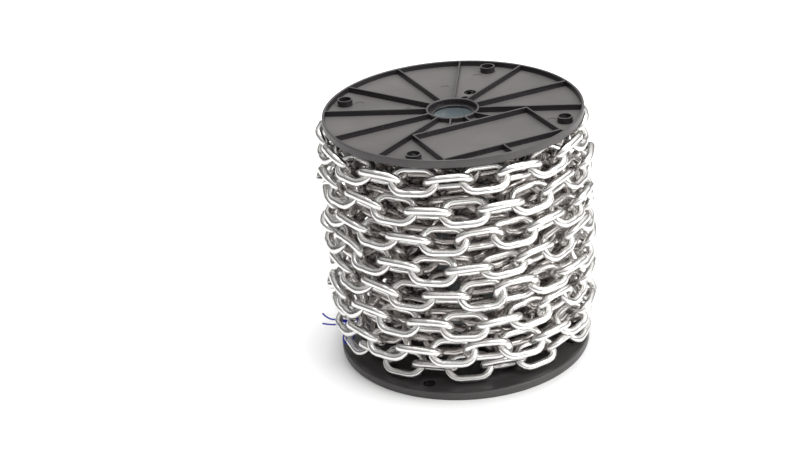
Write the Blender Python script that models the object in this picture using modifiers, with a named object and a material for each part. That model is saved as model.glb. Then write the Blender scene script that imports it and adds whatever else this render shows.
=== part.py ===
"""A black plastic reel wound with steel link chain, held at its loose end by a blue wire tie."""
import math

import bmesh
import bpy
from mathutils import Matrix, Vector

MM = 0.001

# The reel: two ribbed flanges on a barrel, standing on the lower flange.
REEL_HEIGHT = 210 * MM
FLANGE_RADIUS = 105 * MM
FLANGE_DEPTH = 7 * MM
PLATE = 2 * MM
RIM_WALL = 2 * MM
EDGE = 0.8 * MM
HUB_RADIUS = 21.5 * MM
HUB_WALL = 1.8 * MM
HUB_HEIGHT = 6.6 * MM
LEDGE_HEIGHT = 4.2 * MM
BORE_RADIUS = 15.5 * MM
BARREL_RADIUS = 30 * MM
BARREL_WALL = 3 * MM
FLANGE_FACETS = 48
BARREL_FACETS = 40

# The moulded pattern on the outer face of each flange.
RIB_COUNT = 12
RIB_PHASE = -7
RIB_THICKNESS = 1.8 * MM
RIB_TOP = 6.7 * MM
WINDOW_ANGLE = -67
WINDOW_NEAR = 32 * MM
WINDOW_FAR = 86 * MM
WINDOW_HALF_WIDTH = 50 * MM
WINDOW_TOP = 6.5 * MM
BOSS_RADIUS = 6.2 * MM
BOSS_HOLE_RADIUS = 5 * MM
BOSS_CIRCLE = 93 * MM
BOSS_TOP = 6.8 * MM
BOSS_ANGLES = (68, 158, 248, 338)
START_HOLE_RADIUS = 5 * MM
START_HOLE_CIRCLE = 45 * MM
START_HOLE_ANGLE = 68
SINK = 0.6 * MM

# The chain: straight links of quarter-inch wire, in eight rows that cross over at the back.
WIRE = 6.35 * MM
FACETED_WIRE_RADIUS = 3.85 * MM
LINK_INNER_LENGTH = 28 * MM
LINK_INNER_WIDTH = 13 * MM
LINK_END_FLAT = 7.7 * MM
LINK_CORNER_EASE = 1.2 * MM
LINK_PITCH = 27.5 * MM
PITCH_WANDER = 0.3 * MM
LINK_SLACK_PITCH = 24.9 * MM
ROLL = 45
ROLL_SPREAD = 18
ROLL_WANDER = 9
ROWS = 8
ROW_SPACING = 24.6 * MM
FIRST_ROW_HEIGHT = 16.95 * MM
WINDING_RADIUS = 102.3 * MM
FIRST_ROW_DROP = 19 * MM
FIRST_ROW_DEEPEST = 0.18
FIRST_ROW_DIP_REACH = 0.36
LAST_ROW_DROP = 6 * MM
LAST_ROW_DIP_START = 6.9
RADIUS_WANDER = 1.6 * MM
HEIGHT_WANDER = 2.2 * MM
FRONT_RISE = 0.12
CROSSING_START = 0.5
LAST_ROW_END = 7.54
LOOSE_END_ANGLE = -163
LOOSE_END_LIFT = 5 * MM
LOOSE_END_LIFT_REACH = 0.07

# What lies under the outer layer of chain.
CORE_RADIUS = 87.4 * MM
CORE_END_RADIUS = 71.5 * MM
CORE_STEP = 34 * MM
CORE_CHAMFER = 8 * MM
CORE_FACETS = 40

# The tie round the loose end.
TIE_RADIUS = 0.6 * MM
TIE_CLEARANCE = 1.1 * MM
TIE_SHIFT = 8 * MM
TIE_BEND_STEP = 36
TIE_KNOT_SHARE = 0.4
TIE_KNOT_CLEARANCE = 1.2 * MM
TIE_STRAND_OFFSET = 0.9 * MM
TIE_TWIST_TURNS = 1.5
TIE_TWIST_LENGTH = 2 * MM
TIE_TAILS = ((5 * MM, 3 * MM), (5 * MM, -2 * MM))
TIE_TAIL_STEPS = 5
TIE_TAIL_BULGE = 0.2

GAP = 0.3 * MM


def clear_scene():
    for item in list(bpy.data.objects):
        bpy.data.objects.remove(item)


def collection(name):
    group = bpy.data.collections.new(name)
    bpy.context.scene.collection.children.link(group)
    return group


def material(name, colour, roughness, metallic):
    finish = bpy.data.materials.new(name)
    finish.use_nodes = True
    shader = finish.node_tree.nodes["Principled BSDF"]
    shader.inputs["Base Color"].default_value = (*colour, 1)
    shader.inputs["Roughness"].default_value = roughness
    shader.inputs["Metallic"].default_value = metallic
    return finish


def add_object(name, mesh, finish, group):
    item = bpy.data.objects.new(name, mesh)
    group.objects.link(item)
    if finish:
        mesh.materials.append(finish)
    return item


def hide_cutter(item):
    item.hide_render = True
    item.display_type = "WIRE"


def turned(name, outline, facets, finish, group):
    """Turns a closed outline of (radius, height) about Z; it runs down its outer side."""
    mesh = bpy.data.meshes.new(name)
    count = len(outline)
    edges = [(i, (i + 1) % count) for i in range(count)]
    mesh.from_pydata([(radius, 0, height) for radius, height in outline], edges, [])
    item = add_object(name, mesh, finish, group)
    screw = item.modifiers.new("turn", "SCREW")
    screw.steps = facets
    screw.render_steps = facets
    screw.use_merge_vertices = True
    screw.merge_threshold = 0.00001
    return item


def boolean(item, operation, group):
    cut = item.modifiers.new(operation.lower(), "BOOLEAN")
    cut.operation = operation
    cut.operand_type = "COLLECTION"
    cut.collection = group
    cut.solver = "EXACT"


def block(name, size, centre, angle, group):
    """A box of the given size, its centre turned about Z by an angle in degrees."""
    mesh = bpy.data.meshes.new(name)
    shape = bmesh.new()
    bmesh.ops.create_cube(shape, size=1)
    turn = Matrix.Rotation(math.radians(angle), 4, "Z")
    place = turn @ Matrix.Translation(centre) @ Matrix.Diagonal((*size, 1))
    bmesh.ops.transform(shape, matrix=place, verts=shape.verts)
    shape.to_mesh(mesh)
    shape.free()
    hide_cutter(add_object(name, mesh, None, group))


def peg(name, radius, low, high, circle, angle, group):
    """An upright cylinder on a circle about Z, from one height to another."""
    mesh = bpy.data.meshes.new(name)
    shape = bmesh.new()
    bmesh.ops.create_cone(
        shape, cap_ends=True, segments=12, radius1=radius, radius2=radius, depth=high - low
    )
    turn = Matrix.Rotation(math.radians(angle), 4, "Z")
    place = turn @ Matrix.Translation((circle, 0, (low + high) / 2))
    bmesh.ops.transform(shape, matrix=place, verts=shape.verts)
    shape.to_mesh(mesh)
    shape.free()
    hide_cutter(add_object(name, mesh, None, group))


def flange(name, inner_face, outward, finish, group):
    """One flange; its ribbed side faces outward, +1 for up or -1 for down."""

    def level(height):
        return inner_face + outward * height

    hub_inner = HUB_RADIUS - HUB_WALL
    outline = [
        (FLANGE_RADIUS - EDGE, FLANGE_DEPTH),
        (FLANGE_RADIUS, FLANGE_DEPTH - EDGE),
        (FLANGE_RADIUS, EDGE),
        (FLANGE_RADIUS - EDGE, 0),
        (BORE_RADIUS, 0),
        (BORE_RADIUS, LEDGE_HEIGHT),
        (hub_inner, LEDGE_HEIGHT),
        (hub_inner, HUB_HEIGHT),
        (HUB_RADIUS, HUB_HEIGHT),
        (HUB_RADIUS, PLATE),
        (FLANGE_RADIUS - RIM_WALL, PLATE),
        (FLANGE_RADIUS - RIM_WALL, FLANGE_DEPTH),
    ]
    points = [(radius, level(height)) for radius, height in outline]
    if outward < 0:
        points.reverse()
    disc = turned(name, points, FLANGE_FACETS, finish, group)

    raised = collection(name + "_raised")
    holes = collection(name + "_holes")
    flange_ribs(name, level, raised)
    for angle in BOSS_ANGLES:
        ends = sorted((level(PLATE - SINK), level(BOSS_TOP)))
        peg(f"{name}_boss_{angle}", BOSS_RADIUS, *ends, BOSS_CIRCLE, angle, raised)
        ends = sorted((level(-1 * MM), level(BOSS_TOP + 1 * MM)))
        peg(f"{name}_boss_hole_{angle}", BOSS_HOLE_RADIUS, *ends, BOSS_CIRCLE, angle, holes)
    ends = sorted((level(-1 * MM), level(FLANGE_DEPTH)))
    peg(f"{name}_start_hole", START_HOLE_RADIUS, *ends, START_HOLE_CIRCLE, START_HOLE_ANGLE, holes)
    boolean(disc, "UNION", raised)
    boolean(disc, "DIFFERENCE", holes)
    return disc


def flange_ribs(name, level, group):
    """Ribs from hub to rim, broken where the label window is, and the window's own frame."""
    hub = HUB_RADIUS - HUB_WALL / 2
    rim = FLANGE_RADIUS - RIM_WALL / 2
    base = PLATE - SINK
    depth = RIB_TOP - base
    height = level(base + depth / 2)
    for index in range(RIB_COUNT):
        angle = RIB_PHASE + 360 / RIB_COUNT * index
        off_axis = (angle - WINDOW_ANGLE + 180) % 360 - 180
        lean = math.cos(math.radians(off_axis))
        spans = [(hub, rim)]
        if abs(off_axis) < 45:
            spans = [(hub, WINDOW_NEAR / lean), (WINDOW_FAR / lean, rim)]
        for start, end in spans:
            size = (end - start, RIB_THICKNESS, depth)
            centre = ((start + end) / 2, 0, height)
            block(f"{name}_rib_{index}_{round(start / MM)}", size, centre, angle, group)
    frame_depth = WINDOW_TOP - base
    frame_height = level(base + frame_depth / 2)
    middle = (WINDOW_NEAR + WINDOW_FAR) / 2
    long_side = (RIB_THICKNESS, 2 * WINDOW_HALF_WIDTH + RIB_THICKNESS, frame_depth)
    short_side = (WINDOW_FAR - WINDOW_NEAR, RIB_THICKNESS, frame_depth)
    for label, radius in (("near", WINDOW_NEAR), ("far", WINDOW_FAR)):
        centre = (radius, 0, frame_height)
        block(f"{name}_window_{label}", long_side, centre, WINDOW_ANGLE, group)
    for label, side in (("left", 1), ("right", -1)):
        centre = (middle, side * WINDOW_HALF_WIDTH, frame_height)
        block(f"{name}_window_{label}", short_side, centre, WINDOW_ANGLE, group)


def barrel(finish, group):
    """The tube between the flanges that the chain is wound on."""
    low = FLANGE_DEPTH + GAP
    high = REEL_HEIGHT - FLANGE_DEPTH - GAP
    inner = BARREL_RADIUS - BARREL_WALL
    outline = [(inner, high), (BARREL_RADIUS, high), (BARREL_RADIUS, low), (inner, low)]
    return turned("barrel", outline, BARREL_FACETS, finish, group)


def chain_core(finish, group):
    """The hidden layers of chain as one plain ring, smaller at its ends, where the rows dip."""
    low = FLANGE_DEPTH + GAP
    high = REEL_HEIGHT - low
    inner = BARREL_RADIUS + GAP
    outline = [
        (inner, high),
        (CORE_END_RADIUS, high),
        (CORE_END_RADIUS, high - CORE_STEP),
        (CORE_RADIUS, high - CORE_STEP - CORE_CHAMFER),
        (CORE_RADIUS, low + CORE_STEP + CORE_CHAMFER),
        (CORE_END_RADIUS, low + CORE_STEP),
        (CORE_END_RADIUS, low),
        (inner, low),
    ]
    return turned("chain_core", outline, CORE_FACETS, finish, group)


def wave(turns, per_turn, shift):
    """A wave along the winding. Half waves left over in a turn set neighbouring rows apart."""
    return math.sin(2 * math.pi * per_turn * turns + shift)


def clear_of_flanges(turns):
    """How far the chain is from both flanges: 0 at its ends, 1 half way up the reel."""
    return math.sin(math.pi * min(1.0, max(0.0, turns / LAST_ROW_END)))


def winding_radius(turns):
    """Radius of the chain's middle line, turns being counted from the loose end."""
    aside = min(1.0, abs(turns - FIRST_ROW_DEEPEST) / FIRST_ROW_DIP_REACH)
    sunk = math.cos(math.pi / 2 * aside) ** 2
    end = max(0.0, (turns - LAST_ROW_DIP_START) / (LAST_ROW_END - LAST_ROW_DIP_START))
    wander = 0.6 * wave(turns, 1.5, 0.6) + 0.4 * wave(turns, 4.5, 2.0)
    dip = FIRST_ROW_DROP * sunk + LAST_ROW_DROP * end ** 2
    return WINDING_RADIUS - dip + RADIUS_WANDER * wander * (1 - sunk)


def winding_height(turns):
    """Height of the chain's middle line: rows cross at the back, and the tied end is lifted."""
    row = math.floor(turns)
    part = turns - row
    crossing = max(0.0, (part - CROSSING_START) / (1 - CROSSING_START))
    smooth = crossing * crossing * (3 - 2 * crossing)
    climb = FRONT_RISE * min(1.0, part / CROSSING_START)
    rise = climb + (1 - FRONT_RISE) * smooth
    wander = 0.5 * wave(turns, 2, 0.4) + 0.38 * wave(turns, 3, 2.0) + 0.12 * wave(turns, 2.5, 1.0)
    level = FIRST_ROW_HEIGHT + ROW_SPACING * (row + rise)
    lifted = max(0.0, 1 - turns / LOOSE_END_LIFT_REACH)
    level += LOOSE_END_LIFT * lifted ** 2
    return level + HEIGHT_WANDER * wander * clear_of_flanges(turns)


def link_roll(turns, number):
    """How far a link lies over, in degrees: to one side and then the other, more or less."""
    side = 1 if number % 2 else -1
    freedom = clear_of_flanges(turns) ** 0.5
    spread = 0.6 * wave(turns, 3.5, 0.0) + 0.4 * wave(turns, 6.5, 1.0)
    opened = side * (ROLL + ROLL_SPREAD * spread * freedom)
    return opened + ROLL_WANDER * wave(turns, 4, 1.2) * freedom


def winding_point(turns):
    angle = math.radians(LOOSE_END_ANGLE) + 2 * math.pi * turns
    radius = winding_radius(turns)
    return Vector((radius * math.cos(angle), radius * math.sin(angle), winding_height(turns)))


def link_places():
    """The place of each link in turns from the loose end, one list for each row."""
    rows = []
    place = 0.0
    for row in range(ROWS):
        end = min(row + 1.0, LAST_ROW_END)
        places = []
        while place < end:
            places.append(place)
            pitch = LINK_PITCH + PITCH_WANDER * wave(place, 0.37, 0.0)
            place += pitch / (2 * math.pi * winding_radius(place))
        place -= (LINK_PITCH - LINK_SLACK_PITCH) / (2 * math.pi * winding_radius(place))
        rows.append(places)
    return rows


def link_matrix(turns, number):
    """Where a link lies: along the winding, rolled to one side and then the other."""
    reach = LINK_PITCH / (4 * math.pi * WINDING_RADIUS)
    along = (winding_point(turns + reach) - winding_point(turns - reach)).normalized()
    point = winding_point(turns)
    outward = Vector((point.x, point.y, 0)).normalized()
    outward = (outward - along * outward.dot(along)).normalized()
    upward = along.cross(outward) * -1
    roll = math.radians(link_roll(turns, number))
    across = outward * math.cos(roll) + upward * math.sin(roll)
    normal = along.cross(across)
    turn = Matrix((along, across, normal)).transposed().to_4x4()
    return Matrix.Translation(point) @ turn


def link_mesh():
    """One link as an eight-cornered ring of wire, lying in the XY plane along X."""
    half_width = (LINK_INNER_WIDTH + WIRE) / 2
    half_length = (LINK_INNER_LENGTH + WIRE) / 2
    straight = half_length - half_width + LINK_CORNER_EASE
    quarter = [(straight, half_width), (half_length, LINK_END_FLAT / 2)]
    corners = quarter + [(x, -y) for x, y in reversed(quarter)]
    corners += [(-x, -y) for x, y in quarter] + [(-x, y) for x, y in reversed(quarter)]
    curve = bpy.data.curves.new("link", "CURVE")
    curve.dimensions = "3D"
    curve.bevel_depth = FACETED_WIRE_RADIUS
    curve.bevel_resolution = 0
    spline = curve.splines.new("POLY")
    spline.points.add(len(corners) - 1)
    for point, (x, y) in zip(spline.points, corners):
        point.co = (x, y, 0, 1)
    spline.use_cyclic_u = True
    item = bpy.data.objects.new("link", curve)
    bpy.context.scene.collection.objects.link(item)
    bpy.context.view_layer.update()
    graph = bpy.context.evaluated_depsgraph_get()
    mesh = bpy.data.meshes.new_from_object(item.evaluated_get(graph))
    bpy.data.objects.remove(item)
    return mesh


def joined_links(name, link, places, first_number, finish, group):
    """Every second link of a row as one mesh; these links don't touch each other."""
    shape = bmesh.new()
    for offset, turns in enumerate(places):
        if offset % 2:
            continue
        piece = link.copy()
        piece.transform(link_matrix(turns, first_number + offset))
        shape.from_mesh(piece)
        bpy.data.meshes.remove(piece)
    bmesh.ops.recalc_face_normals(shape, faces=shape.faces)
    mesh = bpy.data.meshes.new(name)
    shape.to_mesh(mesh)
    shape.free()
    return add_object(name, mesh, finish, group)


def chain_rows(finish, group, cutters):
    """The outer layer of chain, one solid for each row, its links fused where they bear."""
    link = link_mesh()
    number = 0
    for row, places in enumerate(link_places(), 1):
        name = f"chain_row_{row}"
        item = joined_links(name, link, places, number, finish, group)
        partner = joined_links(name + "_partner", link, places[1:], number + 1, None, cutters)
        hide_cutter(partner)
        weld = item.modifiers.new("weld", "BOOLEAN")
        weld.operation = "UNION"
        weld.object = partner
        weld.solver = "EXACT"
        number += len(places)


def tied_sides():
    """Where the tie crosses the outer sides of the chain's last link and of one over it."""
    side = Vector((-TIE_SHIFT, (LINK_INNER_WIDTH + WIRE) / 2, 0))
    numbered = list(enumerate(place for row in link_places()[:2] for place in row))
    number, place = min(numbered[2::2], key=lambda item: abs(item[1] - 1))
    return link_matrix(0, 0) @ side, link_matrix(place, number) @ side


def tie_route():
    """Points of the tie: a tail, a twist, round both links, back through the twist, a tail."""
    lower, upper = tied_sides()
    rise = upper - lower
    up = rise.normalized()
    outward = Vector((lower.x, lower.y, 0)).normalized()
    outward = (outward - up * outward.dot(up)).normalized()
    side = up.cross(outward)
    reach = FACETED_WIRE_RADIUS + TIE_RADIUS + TIE_CLEARANCE
    loop = []
    for centre, start in ((upper, 0), (lower, 180)):
        for angle in range(start, start + 181, TIE_BEND_STEP):
            turn = math.radians(angle)
            loop.append(centre + (outward * math.cos(turn) + up * math.sin(turn)) * reach)
    neck = lower + rise * TIE_KNOT_SHARE + outward * (reach + TIE_KNOT_CLEARANCE)
    steps = round(TIE_TWIST_TURNS * 6)
    strands = ([], [])
    for step in range(steps + 1):
        turn = 2 * math.pi * TIE_TWIST_TURNS * step / steps
        offset = (up * math.cos(turn) + side * math.sin(turn)) * TIE_STRAND_OFFSET
        centre = neck + outward * TIE_TWIST_LENGTH * step / steps
        strands[0].append(centre + offset)
        strands[1].append(centre - offset)
    for strand, (length, lift) in zip(strands, TIE_TAILS):
        start = strand[-1]
        for step in range(1, TIE_TAIL_STEPS + 1):
            part = step / TIE_TAIL_STEPS
            sideways = Vector((-1, 0, 0)) * length * part
            forward = outward * length * TIE_TAIL_BULGE * part * (1 - part / 2)
            strand.append(start + sideways + forward + Vector((0, 0, lift)) * part ** 2)
    return strands[0][::-1] + loop + strands[1]


def tie(finish, group):
    """Plastic-coated wire, passed round two links and twisted shut on itself."""
    route = tie_route()
    curve = bpy.data.curves.new("tie_wire", "CURVE")
    curve.dimensions = "3D"
    curve.bevel_depth = TIE_RADIUS
    curve.bevel_resolution = 1
    curve.use_fill_caps = True
    spline = curve.splines.new("POLY")
    spline.points.add(len(route) - 1)
    for point, place in zip(spline.points, route):
        point.co = (*place, 1)
    curve.materials.append(finish)
    item = bpy.data.objects.new("tie_wire", curve)
    group.objects.link(item)


def build():
    clear_scene()
    parts = collection("reel_of_chain")
    cutters = collection("cutters")
    black = material("black_plastic", (0.012, 0.012, 0.014), 0.35, 0)
    grey = material("grey_plastic", (0.16, 0.18, 0.21), 0.5, 0)
    steel = material("bright_steel", (0.72, 0.71, 0.69), 0.2, 1)
    dark_steel = material("shaded_steel", (0.2, 0.19, 0.18), 0.4, 1)
    blue = material("blue_plastic_coating", (0.03, 0.05, 0.35), 0.35, 0)
    flange("flange_bottom", FLANGE_DEPTH, -1, black, parts)
    flange("flange_top", REEL_HEIGHT - FLANGE_DEPTH, 1, black, parts)
    barrel(grey, parts)
    chain_core(dark_steel, parts)
    chain_rows(steel, parts, cutters)
    tie(blue, parts)


build()
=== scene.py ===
"""A black plastic reel, wound with bright steel link chain whose loose end is wired down."""
import math

import bmesh
import bpy
from mathutils import Matrix, Vector


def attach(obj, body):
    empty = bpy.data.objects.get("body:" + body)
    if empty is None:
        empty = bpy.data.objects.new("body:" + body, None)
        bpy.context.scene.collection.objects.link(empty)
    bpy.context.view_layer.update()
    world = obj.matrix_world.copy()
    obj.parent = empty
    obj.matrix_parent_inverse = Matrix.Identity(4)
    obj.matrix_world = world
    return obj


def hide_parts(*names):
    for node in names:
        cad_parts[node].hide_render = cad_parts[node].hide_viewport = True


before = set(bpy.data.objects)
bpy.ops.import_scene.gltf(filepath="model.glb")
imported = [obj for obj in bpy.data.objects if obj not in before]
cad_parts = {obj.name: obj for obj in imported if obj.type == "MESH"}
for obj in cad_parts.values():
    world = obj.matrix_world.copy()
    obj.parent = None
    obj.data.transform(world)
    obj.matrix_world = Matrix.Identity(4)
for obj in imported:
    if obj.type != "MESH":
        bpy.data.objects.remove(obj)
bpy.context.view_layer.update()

# The flanges are one moulding each, of black polypropylene: a thin plate with a rim, a hub
# collar, radial ribs, a bare label window and four tubular bosses on the side facing out.
# The same mould makes both, and they are welded to the ends of the barrel.
MM = 0.001
REEL_HEIGHT = 210 * MM
FLANGE_RADIUS = 105 * MM
FLANGE_DEPTH = 7 * MM
PLATE = 2 * MM
RIM_WALL = 2 * MM
HUB_RADIUS = 21.5 * MM
HUB_WALL = 1.8 * MM
HUB_HEIGHT = 6.6 * MM
LEDGE_HEIGHT = 2.2 * MM
BORE_RADIUS = 15.5 * MM
FLANGE_FACETS = 160
RIB_COUNT = 12
RIB_PHASE = -7
RIB_THICKNESS = 1.8 * MM
RIB_TOP = 6.7 * MM
RIB_DRAFT = 0.78
RIB_ROUNDING = 0.35 * MM
WINDOW_ANGLE = -67
WINDOW_NEAR = 32 * MM
WINDOW_FAR = 86 * MM
WINDOW_HALF_WIDTH = 50 * MM
WINDOW_TOP = 6.5 * MM
BOSS_RADIUS = 6.2 * MM
BOSS_HOLE_RADIUS = 5 * MM
BOSS_CIRCLE = 93 * MM
BOSS_TOP = 6.8 * MM
BOSS_ANGLES = (68, 158, 248, 338)
START_HOLE_RADIUS = 5 * MM
START_HOLE_CIRCLE = 45 * MM
START_HOLE_ANGLE = 68
NOTCH_RADIUS = 3.6 * MM
NOTCH_CIRCLE = 32 * MM
NOTCH_DEPTH = 1 * MM
SINK = 0.6 * MM
CUT_CLEARANCE = 1 * MM
PIN_MARK_RADIUS = 3.5 * MM
PIN_MARK_DEPTH = 0.3 * MM
# Each mark's radius in millimetres and its angle in degrees.
PIN_MARK_PLACES = ((82, 72), (82, 155), (83, 244), (82, 339), (38, 158), (57, 93))
# How far each kind of face is made more matt and painted greyer: painted sheen on the plate's matt outer
# face and on the rim's wall, a painted highlight on the tops of the ribs, hub and rim, and a little grey
# on the face toward the chain.
PLATE_MATT_AND_SHEEN = 1.0
TOP_MATT_AND_HIGHLIGHT = 0.55
RIM_MATT_AND_SHEEN = 0.7
CHAIN_SIDE_DULLNESS = 0.35
NEAR_PLATE = 0.4 * MM
BELOW_RIB_TOPS = 0.6 * MM
RIM_SKIN = 0.5 * MM
BLACKS = ((0.014, 0.013, 0.014), (0.026, 0.024, 0.026))
# The greys painted on those faces, as painted sheen and painted highlight.
PAINTED_SHEEN_GREYS = ((0.055, 0.051, 0.050), (0.125, 0.118, 0.116))
MERGE_DISTANCE = 0.00001


def arc(centre, radius, start, end, steps):
    """Points on an arc, as (radius, height) pairs, from one angle to another in degrees."""
    points = []
    for step in range(steps + 1):
        angle = math.radians(start + (end - start) * step / steps)
        points.append((centre[0] + radius * math.cos(angle), centre[1] + radius * math.sin(angle)))
    return points


def link_object(name, mesh):
    item = bpy.data.objects.new(name, mesh)
    bpy.context.scene.collection.objects.link(item)
    return item


def plain_mesh(item):
    """The object's finished mesh, with its modifiers applied."""
    bpy.context.view_layer.update()
    graph = bpy.context.evaluated_depsgraph_get()
    mesh = bpy.data.meshes.new_from_object(item.evaluated_get(graph))
    item.modifiers.clear()
    return mesh


def smooth_shaded(mesh, sharp_degrees):
    """Shades a mesh smooth, but for its edges sharper than an angle."""
    mesh.shade_smooth()
    mesh.set_sharp_from_angle(angle=math.radians(sharp_degrees))


def turned_mesh(name, outline, facets):
    """A closed outline of (radius, height), turned about Z."""
    mesh = bpy.data.meshes.new(name)
    edges = [(i, (i + 1) % len(outline)) for i in range(len(outline))]
    mesh.from_pydata([(radius, 0, height) for radius, height in outline], edges, [])
    item = link_object(name, mesh)
    screw = item.modifiers.new("turn", "SCREW")
    screw.steps = facets
    screw.render_steps = facets
    screw.use_merge_vertices = True
    screw.merge_threshold = MERGE_DISTANCE
    result = plain_mesh(item)
    bpy.data.objects.remove(item)
    return outward_mesh(result)


def outward_mesh(mesh):
    """The mesh, with all its faces turned outward."""
    shape = bmesh.new()
    shape.from_mesh(mesh)
    bmesh.ops.recalc_face_normals(shape, faces=shape.faces)
    shape.to_mesh(mesh)
    shape.free()
    return mesh


def flange_outline():
    """Half section of a flange; height is counted outward from the face the chain lies on."""
    edge = 1.5 * MM
    lip = 0.6 * MM
    fillet = 0.8 * MM
    rim_inner = FLANGE_RADIUS - RIM_WALL
    hub_inner = HUB_RADIUS - HUB_WALL
    points = arc((FLANGE_RADIUS - edge, edge), edge, 0, -90, 6)
    points += arc((BORE_RADIUS + lip, lip), lip, -90, -180, 3)
    points += arc((BORE_RADIUS + lip, LEDGE_HEIGHT - lip), lip, 180, 90, 3)
    points += [(hub_inner, LEDGE_HEIGHT)]
    points += arc(((hub_inner + HUB_RADIUS) / 2, HUB_HEIGHT - HUB_WALL / 2), HUB_WALL / 2, 180, 0, 6)
    points += arc((HUB_RADIUS + fillet, PLATE + fillet), fillet, 180, 270, 3)
    points += arc((rim_inner - fillet, PLATE + fillet), fillet, 270, 360, 3)
    points += arc((rim_inner + lip, FLANGE_DEPTH - lip), lip, 180, 90, 3)
    points += arc((FLANGE_RADIUS - lip, FLANGE_DEPTH - lip), lip, 90, 0, 3)
    return points


def rib_shape(shape, length, thickness, depth, place):
    """A drafted rib with a rounded top, added to a mesh under construction."""
    made = bmesh.ops.create_cube(shape, size=1)["verts"]
    bmesh.ops.scale(shape, vec=(length, thickness, depth), verts=made)
    top = [vert for vert in made if vert.co.z > 0]
    for vert in top:
        vert.co.y *= RIB_DRAFT
    edges = [edge for edge in shape.edges if all(vert in top for vert in edge.verts)]
    rounded = bmesh.ops.bevel(
        shape, geom=edges, offset=RIB_ROUNDING, segments=2, affect="EDGES", profile=0.5
    )
    made = {vert for vert in made if vert.is_valid} | {vert for vert in rounded["verts"]}
    bmesh.ops.transform(shape, matrix=place, verts=list(made))


def peg_shape(shape, radius, low, high, circle, angle, segments):
    """An upright peg on a circle round the reel's axis, added to a mesh under construction."""
    made = bmesh.ops.create_cone(
        shape, cap_ends=True, segments=segments, radius1=radius, radius2=radius, depth=high - low
    )["verts"]
    turn = Matrix.Rotation(math.radians(angle), 4, "Z")
    bmesh.ops.transform(
        shape, matrix=turn @ Matrix.Translation((circle, 0, (low + high) / 2)), verts=made
    )


def raised_pattern(shape):
    """Ribs from hub to rim, broken at the label window, the window's frame and the bosses."""
    hub = HUB_RADIUS - HUB_WALL / 2
    rim = FLANGE_RADIUS - RIM_WALL / 2
    base = PLATE - SINK
    depth = RIB_TOP - base
    for index in range(RIB_COUNT):
        angle = RIB_PHASE + 360 / RIB_COUNT * index
        off_axis = (angle - WINDOW_ANGLE + 180) % 360 - 180
        lean = math.cos(math.radians(off_axis))
        spans = [(hub, rim)]
        if abs(off_axis) < 45:
            spans = [(hub, WINDOW_NEAR / lean), (WINDOW_FAR / lean, rim)]
        for start, end in spans:
            turn = Matrix.Rotation(math.radians(angle), 4, "Z")
            place = turn @ Matrix.Translation(((start + end) / 2, 0, base + depth / 2))
            rib_shape(shape, end - start, RIB_THICKNESS, depth, place)
    depth = WINDOW_TOP - base
    middle = (WINDOW_NEAR + WINDOW_FAR) / 2
    turn = Matrix.Rotation(math.radians(WINDOW_ANGLE), 4, "Z")
    quarter = Matrix.Rotation(math.pi / 2, 4, "Z")
    overlap = RIB_THICKNESS / 2
    for radius in (WINDOW_NEAR, WINDOW_FAR):
        place = turn @ Matrix.Translation((radius, 0, base + depth / 2)) @ quarter
        rib_shape(shape, 2 * WINDOW_HALF_WIDTH + overlap, RIB_THICKNESS, depth, place)
    for side in (-WINDOW_HALF_WIDTH, WINDOW_HALF_WIDTH):
        place = turn @ Matrix.Translation((middle, side, base + depth / 2))
        rib_shape(shape, WINDOW_FAR - WINDOW_NEAR + overlap, RIB_THICKNESS, depth, place)
    for angle in BOSS_ANGLES:
        peg_shape(shape, BOSS_RADIUS, base, BOSS_TOP, BOSS_CIRCLE, angle, 32)


def sunk_pattern(shape):
    """The bosses' holes, the hole and notch for the chain's first tie, the ejector pins' marks."""
    under = -CUT_CLEARANCE
    over = FLANGE_DEPTH + CUT_CLEARANCE
    for angle in BOSS_ANGLES:
        peg_shape(shape, BOSS_HOLE_RADIUS, under, over, BOSS_CIRCLE, angle, 32)
    peg_shape(shape, START_HOLE_RADIUS, under, FLANGE_DEPTH, START_HOLE_CIRCLE, START_HOLE_ANGLE, 28)
    low = PLATE - NOTCH_DEPTH
    peg_shape(shape, NOTCH_RADIUS, low, FLANGE_DEPTH, NOTCH_CIRCLE, START_HOLE_ANGLE, 28)
    low = PLATE - PIN_MARK_DEPTH
    for circle, angle in PIN_MARK_PLACES:
        peg_shape(shape, PIN_MARK_RADIUS, low, PLATE + CUT_CLEARANCE, circle * MM, angle, 28)


def pattern_object(name, fill):
    """An object whose mesh a function fills with the shapes to add or cut."""
    mesh = bpy.data.meshes.new(name)
    shape = bmesh.new()
    fill(shape)
    shape.to_mesh(mesh)
    shape.free()
    return link_object(name, mesh)


def moulded_flange(name, inner_face, outward):
    """One flange; its ribbed side faces outward, +1 for up or -1 for down."""
    item = link_object(name, turned_mesh(name, flange_outline(), FLANGE_FACETS))
    raised = pattern_object("raised_pattern", raised_pattern)
    sunk = pattern_object("sunk_pattern", sunk_pattern)
    for operation, pattern in (("UNION", raised), ("DIFFERENCE", sunk)):
        cut = item.modifiers.new(operation.lower(), "BOOLEAN")
        cut.operation = operation
        cut.object = pattern
        cut.solver = "EXACT"
        cut.use_self = operation == "UNION"
    item.data = plain_mesh(item)
    bpy.data.objects.remove(raised)
    bpy.data.objects.remove(sunk)
    item.data.transform(Matrix.Translation((0, 0, inner_face)) @ Matrix.Diagonal((1, 1, outward, 1)))
    if outward < 0:
        item.data.flip_normals()
    smooth_shaded(item.data, 32)
    mark_matt_and_painted_sheen(item.data, inner_face, outward)
    return item


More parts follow.
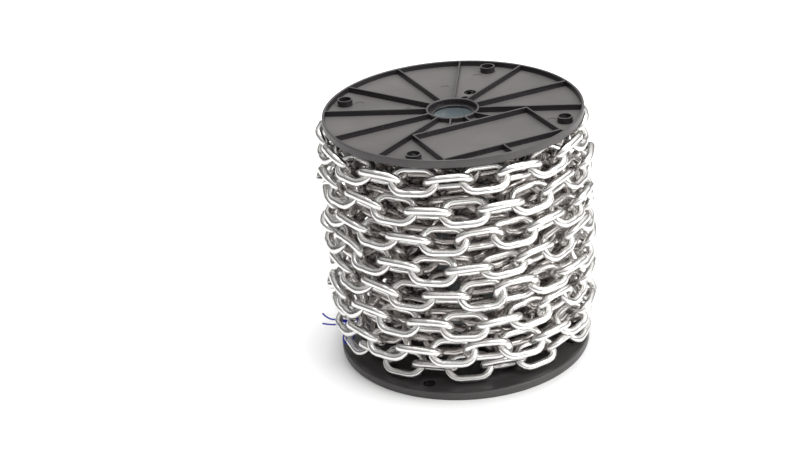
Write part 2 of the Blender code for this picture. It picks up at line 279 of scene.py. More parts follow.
def mark_matt_and_painted_sheen(mesh, inner_face, outward):
    """Face attribute, 1 on the plate's matt outer face and less elsewhere: it makes faces more matt and
    paints them greyer, as painted sheen, and on the tops as a painted highlight.
    """
    matt_and_painted_sheen = mesh.attributes.new("matt_and_painted_sheen", "FLOAT", "FACE")
    for face, mark in zip(mesh.polygons, matt_and_painted_sheen.data):
        radius = face.center.xy.length
        height = (face.center.z - inner_face) * outward
        facing = face.normal.z * outward
        between = HUB_RADIUS < radius < FLANGE_RADIUS - RIM_WALL
        if facing > 0.2 and between and abs(height - PLATE) < NEAR_PLATE:
            mark.value = PLATE_MATT_AND_SHEEN
        elif facing > 0.2 and height > WINDOW_TOP - BELOW_RIB_TOPS:
            mark.value = TOP_MATT_AND_HIGHLIGHT
        elif radius > FLANGE_RADIUS - RIM_SKIN:
            mark.value = RIM_MATT_AND_SHEEN
        elif facing < -0.9:
            mark.value = CHAIN_SIDE_DULLNESS


def group_socket(tree, name, kind, default=None, output=False):
    """A named input or output of a node group."""
    socket = tree.interface.new_socket(name, in_out="OUTPUT" if output else "INPUT", socket_type=kind)
    if default is not None:
        socket.default_value = default
    return socket


def node(tree, kind, **settings):
    """A new node with the given settings."""
    item = tree.nodes.new(kind)
    for key, value in settings.items():
        setattr(item, key, value)
    return item


def fine_grain_group():
    """Shader group: the faint unevenness of a moulded, plated or coated surface."""
    tree = bpy.data.node_groups.new("fine_grain", "ShaderNodeTree")
    group_socket(tree, "Vector", "NodeSocketVector")
    group_socket(tree, "Grains a Metre", "NodeSocketFloat", 900.0)
    group_socket(tree, "Patches a Metre", "NodeSocketFloat", 60.0)
    group_socket(tree, "Grain", "NodeSocketFloat", output=True)
    group_socket(tree, "Patch", "NodeSocketFloat", output=True)
    source = node(tree, "NodeGroupInput")
    result = node(tree, "NodeGroupOutput")
    for scale, output, detail in (("Grains a Metre", "Grain", 3), ("Patches a Metre", "Patch", 5)):
        noise = node(tree, "ShaderNodeTexNoise")
        noise.inputs["Detail"].default_value = detail
        tree.links.new(source.outputs["Vector"], noise.inputs["Vector"])
        tree.links.new(source.outputs[scale], noise.inputs["Scale"])
        tree.links.new(noise.outputs["Fac"], result.inputs[output])
    return tree


def scratch_group():
    """Shader group: fine straight scratches in two directions, as a mask from 0 to 1."""
    tree = bpy.data.node_groups.new("scratches", "ShaderNodeTree")
    group_socket(tree, "Vector", "NodeSocketVector")
    group_socket(tree, "Scratches a Metre", "NodeSocketFloat", 200.0)
    group_socket(tree, "Amount", "NodeSocketFloat", 0.5)
    group_socket(tree, "Mask", "NodeSocketFloat", output=True)
    source = node(tree, "NodeGroupInput")
    result = node(tree, "NodeGroupOutput")
    masks = []
    for angle, stretch in ((35, 14), (-62, 22)):
        lay = node(tree, "ShaderNodeMapping")
        lay.inputs["Rotation"].default_value = (0, 0, math.radians(angle))
        lay.inputs["Scale"].default_value = (1, stretch, 4)
        noise = node(tree, "ShaderNodeTexNoise")
        noise.inputs["Detail"].default_value = 2
        edge = node(tree, "ShaderNodeMapRange")
        edge.inputs["From Min"].default_value = 0.66
        edge.inputs["From Max"].default_value = 0.72
        tree.links.new(source.outputs["Vector"], lay.inputs["Vector"])
        tree.links.new(lay.outputs["Vector"], noise.inputs["Vector"])
        tree.links.new(source.outputs["Scratches a Metre"], noise.inputs["Scale"])
        tree.links.new(noise.outputs["Fac"], edge.inputs["Value"])
        masks.append(edge)
    join = node(tree, "ShaderNodeMath", operation="MAXIMUM")
    weigh = node(tree, "ShaderNodeMath", operation="MULTIPLY")
    tree.links.new(masks[0].outputs["Result"], join.inputs[0])
    tree.links.new(masks[1].outputs["Result"], join.inputs[1])
    tree.links.new(join.outputs[0], weigh.inputs[0])
    tree.links.new(source.outputs["Amount"], weigh.inputs[1])
    tree.links.new(weigh.outputs[0], result.inputs["Mask"])
    return tree


FINE_GRAIN = fine_grain_group()
SCRATCHES = scratch_group()


def finish(name):
    """A new material: returns it, its tree, its shader and its object coordinates."""
    surface = bpy.data.materials.new(name)
    surface.use_nodes = True
    tree = surface.node_tree
    shader = tree.nodes["Principled BSDF"]
    place = node(tree, "ShaderNodeTexCoord").outputs["Object"]
    return surface, tree, shader, place


def use_group(tree, group, place, **values):
    """A node group placed in a material, with values for its named inputs."""
    item = node(tree, "ShaderNodeGroup", node_tree=group)
    tree.links.new(place, item.inputs["Vector"])
    for name, value in values.items():
        item.inputs[name.replace("_", " ")].default_value = value
    return item


def colour_sockets(mix):
    """The colour inputs and outputs of a Mix node, which also has sockets of other kinds."""
    inputs = [socket for socket in mix.inputs if socket.type == "RGBA"]
    outputs = [socket for socket in mix.outputs if socket.type == "RGBA"]
    return inputs, outputs


def blend_colours(tree, mask, first, second):
    """The colour socket of a mix of two colours by a mask."""
    mix = node(tree, "ShaderNodeMix", data_type="RGBA")
    tree.links.new(mask, mix.inputs["Factor"])
    inputs, outputs = colour_sockets(mix)
    inputs[0].default_value = (*first, 1)
    inputs[1].default_value = (*second, 1)
    return outputs[0]


def spread(tree, mask, low, high):
    """A mask stretched to run from one value to another."""
    span = node(tree, "ShaderNodeMapRange")
    span.inputs["To Min"].default_value = low
    span.inputs["To Max"].default_value = high
    tree.links.new(mask, span.inputs["Value"])
    return span.outputs["Result"]


def bump(tree, shader, height, strength, distance):
    """Fine relief on a shader's surface, from a height mask."""
    relief = node(tree, "ShaderNodeBump")
    relief.inputs["Strength"].default_value = strength
    relief.inputs["Distance"].default_value = distance
    tree.links.new(height, relief.inputs["Height"])
    tree.links.new(relief.outputs["Normal"], shader.inputs["Normal"])


def sum_of(tree, first, second):
    """The socket of the sum of two values."""
    add = node(tree, "ShaderNodeMath", operation="ADD")
    tree.links.new(first, add.inputs[0])
    tree.links.new(second, add.inputs[1])
    return add.outputs[0]


def black_plastic():
    """Glossy black, and more matt on the marked faces, which are painted greyer: painted sheen, and on
    the tops a painted highlight.
    """
    surface, tree, shader, place = finish("black_moulded_plastic")
    grain = use_group(tree, FINE_GRAIN, place, Grains_a_Metre=2500.0, Patches_a_Metre=22.0)
    marks = use_group(tree, SCRATCHES, place, Scratches_a_Metre=38.0, Amount=1.0)
    matt_and_painted_sheen = node(tree, "ShaderNodeAttribute", attribute_name="matt_and_painted_sheen").outputs["Fac"]
    plain = blend_colours(tree, grain.outputs["Patch"], *BLACKS)
    # Painted sheen: the grey painted on the marked faces, and on the tops a painted highlight.
    matt = blend_colours(tree, grain.outputs["Patch"], *PAINTED_SHEEN_GREYS)
    base = node(tree, "ShaderNodeMix", data_type="RGBA")
    tree.links.new(matt_and_painted_sheen, base.inputs["Factor"])
    colour_ins, colour_outs = colour_sockets(base)
    tree.links.new(plain, colour_ins[0])
    tree.links.new(matt, colour_ins[1])
    tree.links.new(colour_outs[0], shader.inputs["Base Color"])
    patchy = spread(tree, grain.outputs["Patch"], 0.12, 0.24)
    rough = sum_of(tree, patchy, spread(tree, matt_and_painted_sheen, 0, 0.35))
    rough = sum_of(tree, rough, spread(tree, marks.outputs["Mask"], 0, 0.3))
    tree.links.new(rough, shader.inputs["Roughness"])
    shader.inputs["Specular IOR Level"].default_value = 0.4
    bump(tree, shader, grain.outputs["Grain"], 0.12, 0.0001)
    return surface


BLACK_PLASTIC = black_plastic()
for flange_name, face, facing in (
    ("flange_bottom", FLANGE_DEPTH, -1),
    ("flange_top", REEL_HEIGHT - FLANGE_DEPTH, 1),
):
    flange = moulded_flange(flange_name + "_moulding", face, facing)
    flange.data.materials.clear()
    flange.data.materials.append(BLACK_PLASTIC)
    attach(flange, "root")
    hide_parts(flange_name)


# The barrel is a tube of blue-grey plastic that stands between the flanges, welded to both.
# Its inner wall shows through the bore of the upper flange, and its colour is painted far paler than the
# plastic: painted light in the bore.
BARREL_RADIUS = 30 * MM
BARREL_WALL = 3 * MM
GAP = 0.3 * MM
PALE_BLUE_GREYS_WITH_PAINTED_LIGHT = ((0.74, 0.81, 0.84), (0.84, 0.91, 0.94))


def barrel_outline():
    """Half section of the barrel's wall."""
    low = FLANGE_DEPTH + GAP
    high = REEL_HEIGHT - low
    inner = BARREL_RADIUS - BARREL_WALL
    edge = 0.6 * MM
    points = [(BARREL_RADIUS - edge, high), (BARREL_RADIUS, high - edge)]
    points += [(BARREL_RADIUS, low + edge), (BARREL_RADIUS - edge, low)]
    points += [(inner + edge, low), (inner, low + edge), (inner, high - edge), (inner + edge, high)]
    return points


def grey_plastic():
    surface, tree, shader, place = finish("blue_grey_plastic")
    grain = use_group(tree, FINE_GRAIN, place, Grains_a_Metre=1500.0, Patches_a_Metre=90.0)
    # Painted light: the pale colour stands for light on the wall inside the bore, not the plastic's own
    # darker blue-grey.
    base = blend_colours(tree, grain.outputs["Patch"], *PALE_BLUE_GREYS_WITH_PAINTED_LIGHT)
    tree.links.new(base, shader.inputs["Base Color"])
    tree.links.new(spread(tree, grain.outputs["Patch"], 0.45, 0.7), shader.inputs["Roughness"])
    bump(tree, shader, grain.outputs["Grain"], 0.2, 0.0003)
    return surface


barrel = link_object("barrel_tube", turned_mesh("barrel_tube", barrel_outline(), 96))
smooth_shaded(barrel.data, 35)
barrel.data.materials.append(grey_plastic())
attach(barrel, "root")
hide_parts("barrel")


# The chain is straight-link coil chain: each link is bent from quarter-inch round steel wire,
# butt welded in the middle of one side and zinc plated. It is wound in four layers of eight
# rows, and neighbouring links lie rolled to opposite sides, as the links of a laid chain do.
WIRE = 6.35 * MM
LINK_INNER_LENGTH = 28 * MM
LINK_INNER_WIDTH = 13 * MM
LINK_PITCH = 27.5 * MM
PITCH_WANDER = 0.3 * MM
LINK_SLACK_PITCH = 24.9 * MM
ROLL = 45
ROLL_SPREAD = 18
ROLL_SPREAD_WAVES = ((0.6, 3.5, 0.0), (0.4, 6.5, 1.0))
ROLL_WANDER = 9
ROWS = 8
ROW_SPACING = 24.6 * MM
FIRST_ROW_HEIGHT = 16.95 * MM
WINDING_RADIUS = 102.3 * MM
FIRST_ROW_DROP = 19 * MM
FIRST_ROW_DEEPEST = 0.18
FIRST_ROW_DIP_REACH = 0.36
LAST_ROW_DROP = 6 * MM
LAST_ROW_DIP_START = 6.9
RADIUS_WANDER = 1.6 * MM
RADIUS_WAVES = ((0.6, 1.5, 0.6), (0.4, 4.5, 2.0))
HEIGHT_WANDER = 2.2 * MM
HEIGHT_WAVES = ((0.5, 2, 0.4), (0.38, 3, 2.0), (0.12, 2.5, 1.0))
FRONT_RISE = 0.12
CROSSING_START = 0.5
LAST_ROW_END = 7.54
HIGHEST_ROW = 192.6 * MM
LOOSE_END_ANGLE = -163
LOOSE_END_LIFT = 5 * MM
LOOSE_END_LIFT_REACH = 0.07
WELD_BEAD = ((-1.9 * MM, 1.0), (-1.0 * MM, 1.07), (0, 1.03), (1.0 * MM, 1.07), (1.9 * MM, 1.0))
LINK_LEAN = 3
ROW_SEED = 10


def wave(turns, per_turn, shift):
    """A wave along the winding. Half waves left over in a turn set neighbouring rows apart."""
    return math.sin(2 * math.pi * per_turn * turns + shift)


def wander(turns, waves):
    """The sum of some waves, each given as its share, its number per turn and its shift."""
    return sum(share * wave(turns, per_turn, shift) for share, per_turn, shift in waves)


def clear_of_flanges(turns):
    """How far the chain is from both flanges: 0 at its ends, 1 half way up the reel."""
    return math.sin(math.pi * min(1.0, max(0.0, turns / LAST_ROW_END)))


def winding_radius(turns):
    """Radius of the chain's middle line, turns being counted from the loose end."""
    aside = min(1.0, abs(turns - FIRST_ROW_DEEPEST) / FIRST_ROW_DIP_REACH)
    sunk = math.cos(math.pi / 2 * aside) ** 2
    past_start = min(turns, LAST_ROW_END) - LAST_ROW_DIP_START
    end = max(0.0, past_start / (LAST_ROW_END - LAST_ROW_DIP_START))
    dip = FIRST_ROW_DROP * sunk + LAST_ROW_DROP * end ** 2
    return WINDING_RADIUS - dip + RADIUS_WANDER * wander(turns, RADIUS_WAVES) * (1 - sunk)


def winding_height(turns):
    """Height of the chain's middle line: rows cross at the back, and the tied end is lifted."""
    row = math.floor(turns)
    part = turns - row
    crossing = max(0.0, (part - CROSSING_START) / (1 - CROSSING_START))
    smooth = crossing * crossing * (3 - 2 * crossing)
    climb = FRONT_RISE * min(1.0, part / CROSSING_START)
    rise = climb + (1 - FRONT_RISE) * smooth
    level = FIRST_ROW_HEIGHT + ROW_SPACING * (row + rise)
    lifted = max(0.0, 1 - turns / LOOSE_END_LIFT_REACH)
    level += LOOSE_END_LIFT * lifted ** 2
    return level + HEIGHT_WANDER * wander(turns, HEIGHT_WAVES) * clear_of_flanges(turns)


def winding_point(turns, depth=0.0):
    """A point of the chain's middle line, or of a layer that lies deeper in the winding."""
    angle = math.radians(LOOSE_END_ANGLE) + 2 * math.pi * turns
    radius = winding_radius(turns) - depth
    height = min(winding_height(turns), HIGHEST_ROW)
    return Vector((radius * math.cos(angle), radius * math.sin(angle), height))


def link_roll(turns, number):
    """How far a link lies over, in degrees: to one side and then the other, more or less."""
    side = 1 if number % 2 else -1
    freedom = clear_of_flanges(turns) ** 0.5
    opened = side * (ROLL + ROLL_SPREAD * wander(turns, ROLL_SPREAD_WAVES) * freedom)
    return opened + ROLL_WANDER * wave(turns, 4, 1.2) * freedom


def link_places():
    """The place of each link in turns from the loose end, one list for each row."""
    rows = []
    place = 0.0
    for row in range(ROWS):
        end = min(row + 1.0, LAST_ROW_END)
        places = []
        while place < end:
            places.append(place)
            pitch = LINK_PITCH + PITCH_WANDER * wave(place, 0.37, 0.0)
            place += pitch / (2 * math.pi * winding_radius(place))
        place -= (LINK_PITCH - LINK_SLACK_PITCH) / (2 * math.pi * winding_radius(place))
        rows.append(places)
    return rows


def link_frame(turns, depth=0.0):
    """Where a link's middle lies, the way the chain runs there, and the way out."""
    reach = LINK_PITCH / (4 * math.pi * WINDING_RADIUS)
    along = (winding_point(turns + reach, depth) - winding_point(turns - reach, depth)).normalized()
    point = winding_point(turns, depth)
    outward = Vector((point.x, point.y, 0)).normalized()
    return point, along, (outward - along * outward.dot(along)).normalized()


def link_blank(name, arc_steps, sides):
    """One link lying along X: a stadium of round wire with a weld bead on one long side."""
    half_width = (LINK_INNER_WIDTH + WIRE) / 2
    half_straight = (LINK_INNER_LENGTH - LINK_INNER_WIDTH) / 2
    ring = [(x, -half_width, swell) for x, swell in WELD_BEAD]
    right = arc((half_straight, 0), half_width, -90, 90, arc_steps)
    left = arc((-half_straight, 0), half_width, 90, 270, arc_steps)
    ring += [(x, y, 1.0) for x, y in right + left]
    curve = bpy.data.curves.new(name, "CURVE")
    curve.dimensions = "3D"
    curve.bevel_depth = WIRE / 2
    curve.bevel_resolution = (sides - 4) // 2
    spline = curve.splines.new("POLY")
    spline.points.add(len(ring) - 1)
    for point, (x, y, swell) in zip(spline.points, ring):
        point.co = (x, y, 0, 1)
        point.radius = swell
    spline.use_cyclic_u = True
    item = link_object(name, curve)
    mesh = outward_mesh(plain_mesh(item))
    bpy.data.objects.remove(item)
    return link_object(name, mesh)


def lay_links_tree():
    """Geometry Nodes: puts a link at each place of a row, turned as the row's points say."""
    tree = bpy.data.node_groups.new("lay_links", "GeometryNodeTree")
    group_socket(tree, "Places", "NodeSocketGeometry")
    group_socket(tree, "Link", "NodeSocketObject")
    group_socket(tree, "Lean", "NodeSocketFloat", math.radians(LINK_LEAN))
    group_socket(tree, "Seed", "NodeSocketInt", 1)
    group_socket(tree, "Finish", "NodeSocketMaterial")
    group_socket(tree, "Links", "NodeSocketGeometry", output=True)
    wire = tree.links.new
    source = node(tree, "NodeGroupInput")
    result = node(tree, "NodeGroupOutput")

    def read(name, kind):
        item = node(tree, "GeometryNodeInputNamedAttribute", data_type=kind)
        item.inputs["Name"].default_value = name
        return item.outputs["Attribute"]

    def turned_by(rotation, more):
        item = node(tree, "FunctionNodeRotateRotation", rotation_space="LOCAL")
        wire(rotation, item.inputs["Rotation"])
        wire(more, item.inputs["Rotate By"])
        return item.outputs["Rotation"]

    def about_x(angle):
        item = node(tree, "FunctionNodeAxisAngleToRotation")
        item.inputs["Axis"].default_value = (1, 0, 0)
        wire(angle, item.inputs["Angle"])
        return item.outputs["Rotation"]

    laid = node(tree, "FunctionNodeAxesToRotation", primary_axis="X", secondary_axis="Y")
    wire(read("along", "FLOAT_VECTOR"), laid.inputs["Primary Axis"])
    wire(read("outward", "FLOAT_VECTOR"), laid.inputs["Secondary Axis"])
    rolled = turned_by(laid.outputs["Rotation"], about_x(read("roll", "FLOAT")))

    # A link may lie either way round, so that its weld bead shows on one link in two.
    side = node(tree, "FunctionNodeRandomValue", data_type="INT")
    side.inputs[4].default_value = 0
    side.inputs[5].default_value = 1
    half_turn = node(tree, "ShaderNodeMath", operation="MULTIPLY")
    half_turn.inputs[1].default_value = math.pi
    wire(source.outputs["Seed"], side.inputs["Seed"])
    wire(side.outputs[2], half_turn.inputs[0])
    either_side = turned_by(rolled, about_x(half_turn.outputs[0]))

    # It also leans a little, and twice as far about the chain's own run.
    lean = node(tree, "FunctionNodeRandomValue", data_type="FLOAT_VECTOR")
    lean.inputs[0].default_value = (-2, -1, -1)
    lean.inputs[1].default_value = (2, 1, 1)
    lean_angles = node(tree, "ShaderNodeVectorMath", operation="SCALE")
    lean_turn = node(tree, "FunctionNodeEulerToRotation")
    wire(source.outputs["Seed"], lean.inputs["Seed"])
    wire(lean.outputs[0], lean_angles.inputs[0])
    wire(source.outputs["Lean"], lean_angles.inputs["Scale"])
    wire(lean_angles.outputs[0], lean_turn.inputs["Euler"])

    blank = node(tree, "GeometryNodeObjectInfo")
    placed = node(tree, "GeometryNodeInstanceOnPoints")
    wire(source.outputs["Link"], blank.inputs["Object"])
    wire(source.outputs["Places"], placed.inputs["Points"])
    wire(blank.outputs["Geometry"], placed.inputs["Instance"])
    wire(turned_by(either_side, lean_turn.outputs["Rotation"]), placed.inputs["Rotation"])

    # Each link keeps a tone of its own, which its plating shows.
    tone = node(tree, "FunctionNodeRandomValue", data_type="FLOAT")
    keep = node(tree, "GeometryNodeStoreNamedAttribute", data_type="FLOAT", domain="INSTANCE")
    keep.inputs["Name"].default_value = "link_tone"
    real = node(tree, "GeometryNodeRealizeInstances")
    smooth = node(tree, "GeometryNodeSetShadeSmooth")
    coat = node(tree, "GeometryNodeSetMaterial")
    wire(source.outputs["Seed"], tone.inputs["Seed"])
    wire(placed.outputs["Instances"], keep.inputs["Geometry"])
    wire(tone.outputs[1], keep.inputs["Value"])
    wire(keep.outputs["Geometry"], real.inputs["Geometry"])
    wire(real.outputs["Geometry"], smooth.inputs["Geometry"])
    wire(smooth.outputs["Geometry"], coat.inputs["Geometry"])
    wire(source.outputs["Finish"], coat.inputs["Material"])
    wire(coat.outputs["Geometry"], result.inputs["Links"])
    return tree


LAY_LINKS = lay_links_tree()


def chain_length(name, places, first_number, link, seed, coat, depth=0.0):
    """A length of chain as one plain mesh, its links at the given places of the winding."""
    frames = [link_frame(place, depth) for place in places]
    mesh = bpy.data.meshes.new(name)
    mesh.from_pydata([point for point, along, outward in frames], [], [])
    for label, values in (
        ("along", [along for point, along, outward in frames]),
        ("outward", [outward for point, along, outward in frames]),
    ):
        column = mesh.attributes.new(label, "FLOAT_VECTOR", "POINT")
        for item, value in zip(column.data, values):
            item.vector = value
    column = mesh.attributes.new("roll", "FLOAT", "POINT")
    for number, (item, place) in enumerate(zip(column.data, places), first_number):
        item.value = -math.radians(link_roll(place, number))
    item = link_object(name, mesh)
    layer = item.modifiers.new("links", "NODES")
    layer.node_group = LAY_LINKS
    settings = {"Link": link, "Lean": math.radians(LINK_LEAN), "Seed": seed, "Finish": coat}
    for socket in LAY_LINKS.interface.items_tree:
        if socket.name in settings:
            layer[socket.identifier] = settings[socket.name]
    item.data = plain_mesh(item)
    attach(item, "root")
    return item


def plated_steel(name, light, dark, low_roughness, high_roughness):
    """Zinc-plated steel wire: bright, with a soft patchy sheen and fine rubbing marks."""
    surface, tree, shader, place = finish(name)
    grain = use_group(tree, FINE_GRAIN, place, Grains_a_Metre=1800.0, Patches_a_Metre=110.0)
    marks = use_group(tree, SCRATCHES, place, Scratches_a_Metre=260.0, Amount=0.6)
    tone = node(tree, "ShaderNodeAttribute", attribute_name="link_tone").outputs["Fac"]
    patch = node(tree, "ShaderNodeMath", operation="MULTIPLY_ADD")
    patch.inputs[1].default_value = 0.45
    tree.links.new(tone, patch.inputs[0])
    tree.links.new(spread(tree, grain.outputs["Patch"], 0, 0.6), patch.inputs[2])
    tree.links.new(blend_colours(tree, patch.outputs[0], light, dark), shader.inputs["Base Color"])
    rough = node(tree, "ShaderNodeMath", operation="ADD")
    span = spread(tree, grain.outputs["Patch"], low_roughness, high_roughness)
    tree.links.new(span, rough.inputs[0])
    tree.links.new(spread(tree, marks.outputs["Mask"], 0, 0.12), rough.inputs[1])
    tree.links.new(rough.outputs[0], shader.inputs["Roughness"])
    shader.inputs["Metallic"].default_value = 1
    bump(tree, shader, grain.outputs["Grain"], 0.06, 0.0002)
    return surface


BRIGHT_STEEL = plated_steel(
    "bright_plated_steel", (0.86, 0.85, 0.83), (0.68, 0.67, 0.65), low_roughness=0.15, high_roughness=0.33
)
link = link_blank("link_blank", arc_steps=8, sides=10)
links_so_far = 0
for row, places in enumerate(link_places(), 1):
    chain_row = chain_length(
        f"chain_links_{row}", places, links_so_far, link, ROW_SEED + row, BRIGHT_STEEL
    )
    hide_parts(f"chain_row_{row}")
    links_so_far += len(places)
bpy.data.objects.remove(link)


# The layers underneath are the same chain. They show only in the gaps between the outer
# links, so their links have fewer faces, and their steel is painted darker: painted shade.
INNER_LAYERS = 3
INNER_START = 0.3
INNER_END = 7.74
LAYER_DEPTH = 19.5 * MM
LAYER_SEED = 30


def layer_places(depth):
    """Places of the links of an inner layer, a pitch apart at that depth."""
    places = []
    place = INNER_START
    while place < INNER_END:
        places.append(place)
        place += LINK_PITCH / (2 * math.pi * (winding_radius(place) - depth))
    return places


# The same plated steel painted darker and a little browner, as painted shade on the layers underneath.
SHADED_STEEL = plated_steel(
    "shaded_plated_steel", (0.7, 0.66, 0.64), (0.42, 0.39, 0.37), low_roughness=0.18, high_roughness=0.36
)
link = link_blank("inner_link_blank", arc_steps=5, sides=6)
for layer in range(1, INNER_LAYERS + 1):
    depth = LAYER_DEPTH * layer
    inner = chain_length(
        f"inner_chain_{layer}", layer_places(depth), 0, link, LAYER_SEED + layer, SHADED_STEEL, depth
    )
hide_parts("chain_core")
bpy.data.objects.remove(link)


# A coated wire ties the loose end down: it goes round the chain's last link and a link above
# it, is twisted shut by hand, and both its cut tails stick out to the left.
TIE_RADIUS = 0.7 * MM
TIE_CLEARANCE = 0.3 * MM
TIE_BEND_STEP = 30
LOW_SHIFT = -8 * MM
HIGH_SHIFT = 10 * MM
HIGH_LINK_PLACE = 0.96
TIE_KNOT_SHARE = 0.85
TIE_KNOT_CLEARANCE = 0.9 * MM
TIE_STRAND_OFFSET = 0.8 * MM
TIE_TWIST_TURNS = 3
TIE_STEPS_A_TURN = 8
TIE_TWIST_LENGTH = 3.6 * MM
UPPER_TAIL = ((4, 0.8), (9, 1.4), (13, 4), (16, 7.5))
LOWER_TAIL = ((5, -2.2), (11, -1.7), (16.5, -0.4))
COATING_BLUES = ((0.008, 0.012, 0.24), (0.016, 0.03, 0.5))


def side_point(place, number, shift, side):
    """The middle of a link's long side, moved along it: its outer side is 1, its inner one -1."""
    point, along, outward = link_frame(place)
    roll = math.radians(link_roll(place, number))
    across = outward * math.cos(roll) - along.cross(outward) * math.sin(roll)
    return point + along * shift + across * side * (LINK_INNER_WIDTH + WIRE) / 2


def tied_sides():
    """Where the tie crosses the chain's last link and the low side of a link over it.

    From the fourth link on, every second one lies with its inner side low.
    """
    numbered = list(enumerate(place for row in link_places()[:2] for place in row))
    number, place = min(numbered[3::2], key=lambda item: abs(item[1] - HIGH_LINK_PLACE))
    return side_point(0, 0, LOW_SHIFT, 1), side_point(place, number, HIGH_SHIFT, -1)


def tie_route():
    """Points of the tie: a tail, a twist, round both links, back through the twist, a tail.

    The points of the tails are millimetres to the left of the twist's end, and above it.
    """
    lower, upper = tied_sides()
    rise = upper - lower
    up = rise.normalized()
    outward = Vector((lower.x, lower.y, 0)).normalized()
    outward = (outward - up * outward.dot(up)).normalized()
    side = up.cross(outward)
    reach = WIRE / 2 + TIE_RADIUS + TIE_CLEARANCE
    loop = []
    for centre, start in ((upper, 0), (lower, 180)):
        for angle in range(start, start + 181, TIE_BEND_STEP):
            turn = math.radians(angle)
            loop.append(centre + (outward * math.cos(turn) + up * math.sin(turn)) * reach)
    neck = lower + rise * TIE_KNOT_SHARE + outward * (reach + TIE_KNOT_CLEARANCE)
    steps = TIE_TWIST_TURNS * TIE_STEPS_A_TURN
    strands = ([], [])
    for step in range(steps + 1):
        turn = 2 * math.pi * TIE_TWIST_TURNS * step / steps
        offset = (up * math.cos(turn) + side * math.sin(turn)) * TIE_STRAND_OFFSET
        centre = neck + outward * TIE_TWIST_LENGTH * step / steps
        strands[0].append(centre + offset)
        strands[1].append(centre - offset)
    for strand, tail in zip(strands, (UPPER_TAIL, LOWER_TAIL)):
        start = strand[-1]
        for leftward, lift in tail:
            strand.append(start + Vector((-leftward, 0, lift)) * MM)
    return strands[0][::-1] + loop + strands[1]


def blue_coating():
    surface, tree, shader, place = finish("blue_plastic_coating")
    grain = use_group(tree, FINE_GRAIN, place, Grains_a_Metre=2500.0, Patches_a_Metre=150.0)
    base = blend_colours(tree, grain.outputs["Patch"], *COATING_BLUES)
    tree.links.new(base, shader.inputs["Base Color"])
    tree.links.new(spread(tree, grain.outputs["Patch"], 0.2, 0.4), shader.inputs["Roughness"])
    return surface


def wire_tie():
    """The tie as one closed tube along its route."""
    route = tie_route()
    curve = bpy.data.curves.new("coated_wire_tie", "CURVE")
    curve.dimensions = "3D"
    curve.bevel_depth = TIE_RADIUS
    curve.bevel_resolution = 3
    curve.resolution_u = 5
    curve.use_fill_caps = True
    spline = curve.splines.new("BEZIER")
    spline.bezier_points.add(len(route) - 1)
    for point, place in zip(spline.bezier_points, route):
        point.co = place
        point.handle_left_type = "AUTO"
        point.handle_right_type = "AUTO"
    item = link_object("coated_wire_tie", curve)
    mesh = plain_mesh(item)
    bpy.data.objects.remove(item)
    shape = bmesh.new()
    shape.from_mesh(mesh)
    bmesh.ops.remove_doubles(shape, verts=shape.verts, dist=MERGE_DISTANCE)
    shape.to_mesh(mesh)
    shape.free()
    smooth_shaded(outward_mesh(mesh), 50)
    tie = link_object("coated_wire_tie", mesh)
    mesh.materials.append(blue_coating())
    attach(tie, "root")
    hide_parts("tie_wire")


wire_tie()


# The studio: a plain pale floor under a white ceiling with darker walls, broad soft lights,
# brighter on the right as in the photograph, and the camera where the photograph was taken.
FOCAL_LENGTH = 77.3
SENSOR = 36.0
ELEVATION = 25.97
CAMERA_ROLL = -4.31
AIM_OFFSET = (49.0 * MM, 0.3 * MM)
AIM_DISTANCE = 1421.3 * MM
WALL_TOP = 0.15
CEILING_EDGE = 0.5
WALL_COLOUR = (0.12, 0.11, 0.11)
CEILING_COLOUR = (1.0, 1.0, 1.0)
LEFT_STRENGTH = 0.38
RIGHT_STRENGTH = 1.5
FLOOR_RADIUS = 6
FLOOR_COLOUR = (0.97, 0.97, 0.97)
LIT_POINT = (0, 0, 0.1)


def flat_finish(name, colour, roughness):
    """An even matt finish, with patches that are hardly darker."""
    surface, tree, shader, place = finish(name)
    grain = use_group(tree, FINE_GRAIN, place, Grains_a_Metre=300.0, Patches_a_Metre=2.0)
    darker = [0.985 * part for part in colour]
    base = blend_colours(tree, grain.outputs["Patch"], colour, darker)
    tree.links.new(base, shader.inputs["Base Color"])
    shader.inputs["Roughness"].default_value = roughness
    return surface


def studio_floor():
    mesh = bpy.data.meshes.new("studio_floor")
    shape = bmesh.new()
    bmesh.ops.create_circle(shape, cap_ends=True, segments=64, radius=FLOOR_RADIUS)
    shape.to_mesh(mesh)
    shape.free()
    floor = link_object("studio_floor", mesh)
    mesh.materials.append(flat_finish("pale_floor", FLOOR_COLOUR, roughness=0.6))


def soft_light(name, position, size, power):
    """A round area light that faces the reel."""
    lamp = bpy.data.lights.new(name, "AREA")
    lamp.shape = "DISK"
    lamp.size = size
    lamp.energy = power
    item = link_object(name, lamp)
    item.location = position
    item.rotation_euler = (Vector(LIT_POINT) - Vector(position)).to_track_quat("-Z", "Y").to_euler()


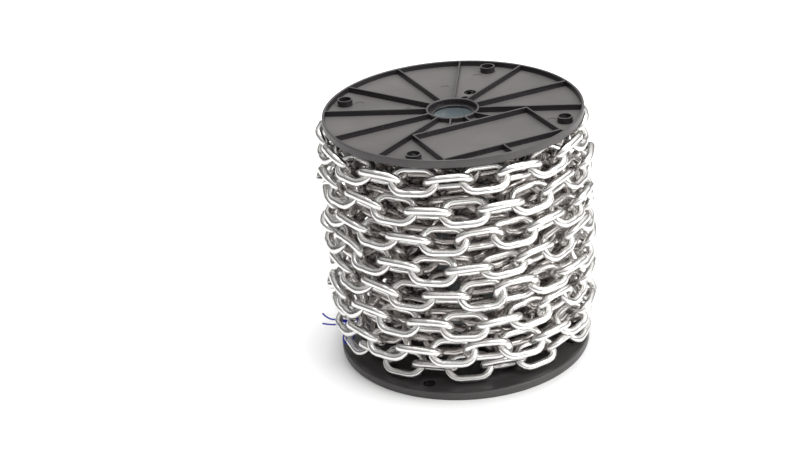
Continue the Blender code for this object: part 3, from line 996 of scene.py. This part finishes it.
def studio_surround():
    """A white ceiling, brighter towards the right, over walls that stay dark at table height."""
    world = bpy.data.worlds.new("studio_surround")
    world.use_nodes = True
    tree = world.node_tree
    way = node(tree, "ShaderNodeSeparateXYZ")
    tree.links.new(node(tree, "ShaderNodeTexCoord").outputs["Generated"], way.inputs["Vector"])
    background = tree.nodes["Background"]
    ceiling = node(tree, "ShaderNodeMapRange")
    ceiling.inputs["From Min"].default_value = WALL_TOP
    ceiling.inputs["From Max"].default_value = CEILING_EDGE
    tree.links.new(way.outputs["Z"], ceiling.inputs["Value"])
    shade = blend_colours(tree, ceiling.outputs["Result"], WALL_COLOUR, CEILING_COLOUR)
    tree.links.new(shade, background.inputs["Color"])
    sideways = node(tree, "ShaderNodeMapRange")
    sideways.inputs["From Min"].default_value = -1
    sideways.inputs["To Min"].default_value = LEFT_STRENGTH
    sideways.inputs["To Max"].default_value = RIGHT_STRENGTH
    tree.links.new(way.outputs["X"], sideways.inputs["Value"])
    tree.links.new(sideways.outputs["Result"], background.inputs["Strength"])
    bpy.context.scene.world = world


def photo_camera():
    """The camera, aimed beside the reel's middle as the photograph frames it."""
    elevation = math.radians(ELEVATION)
    roll = math.radians(CAMERA_ROLL)
    forward = Vector((0, math.cos(elevation), -math.sin(elevation)))
    level_up = Vector((0, math.sin(elevation), math.cos(elevation)))
    level_right = Vector((1, 0, 0))
    right = level_right * math.cos(roll) + level_up * math.sin(roll)
    up = level_up * math.cos(roll) - level_right * math.sin(roll)
    middle = Vector((0, 0, REEL_HEIGHT / 2))
    place = middle - right * AIM_OFFSET[0] - up * AIM_OFFSET[1] - forward * AIM_DISTANCE
    lens = bpy.data.cameras.new("photo_camera")
    lens.lens = FOCAL_LENGTH
    lens.sensor_width = SENSOR
    lens.clip_start = 0.05
    item = link_object("photo_camera", lens)
    turn = Matrix((right, up, -forward)).transposed().to_4x4()
    item.matrix_world = Matrix.Translation(place) @ turn
    bpy.context.scene.camera = item


studio_floor()
soft_light("key_right", (1.6, -1.0, 1.5), size=2.0, power=32)
soft_light("top", (0.0, 0.3, 2.2), size=1.6, power=34)
studio_surround()
bpy.context.scene.view_settings.view_transform = "Standard"
photo_camera()
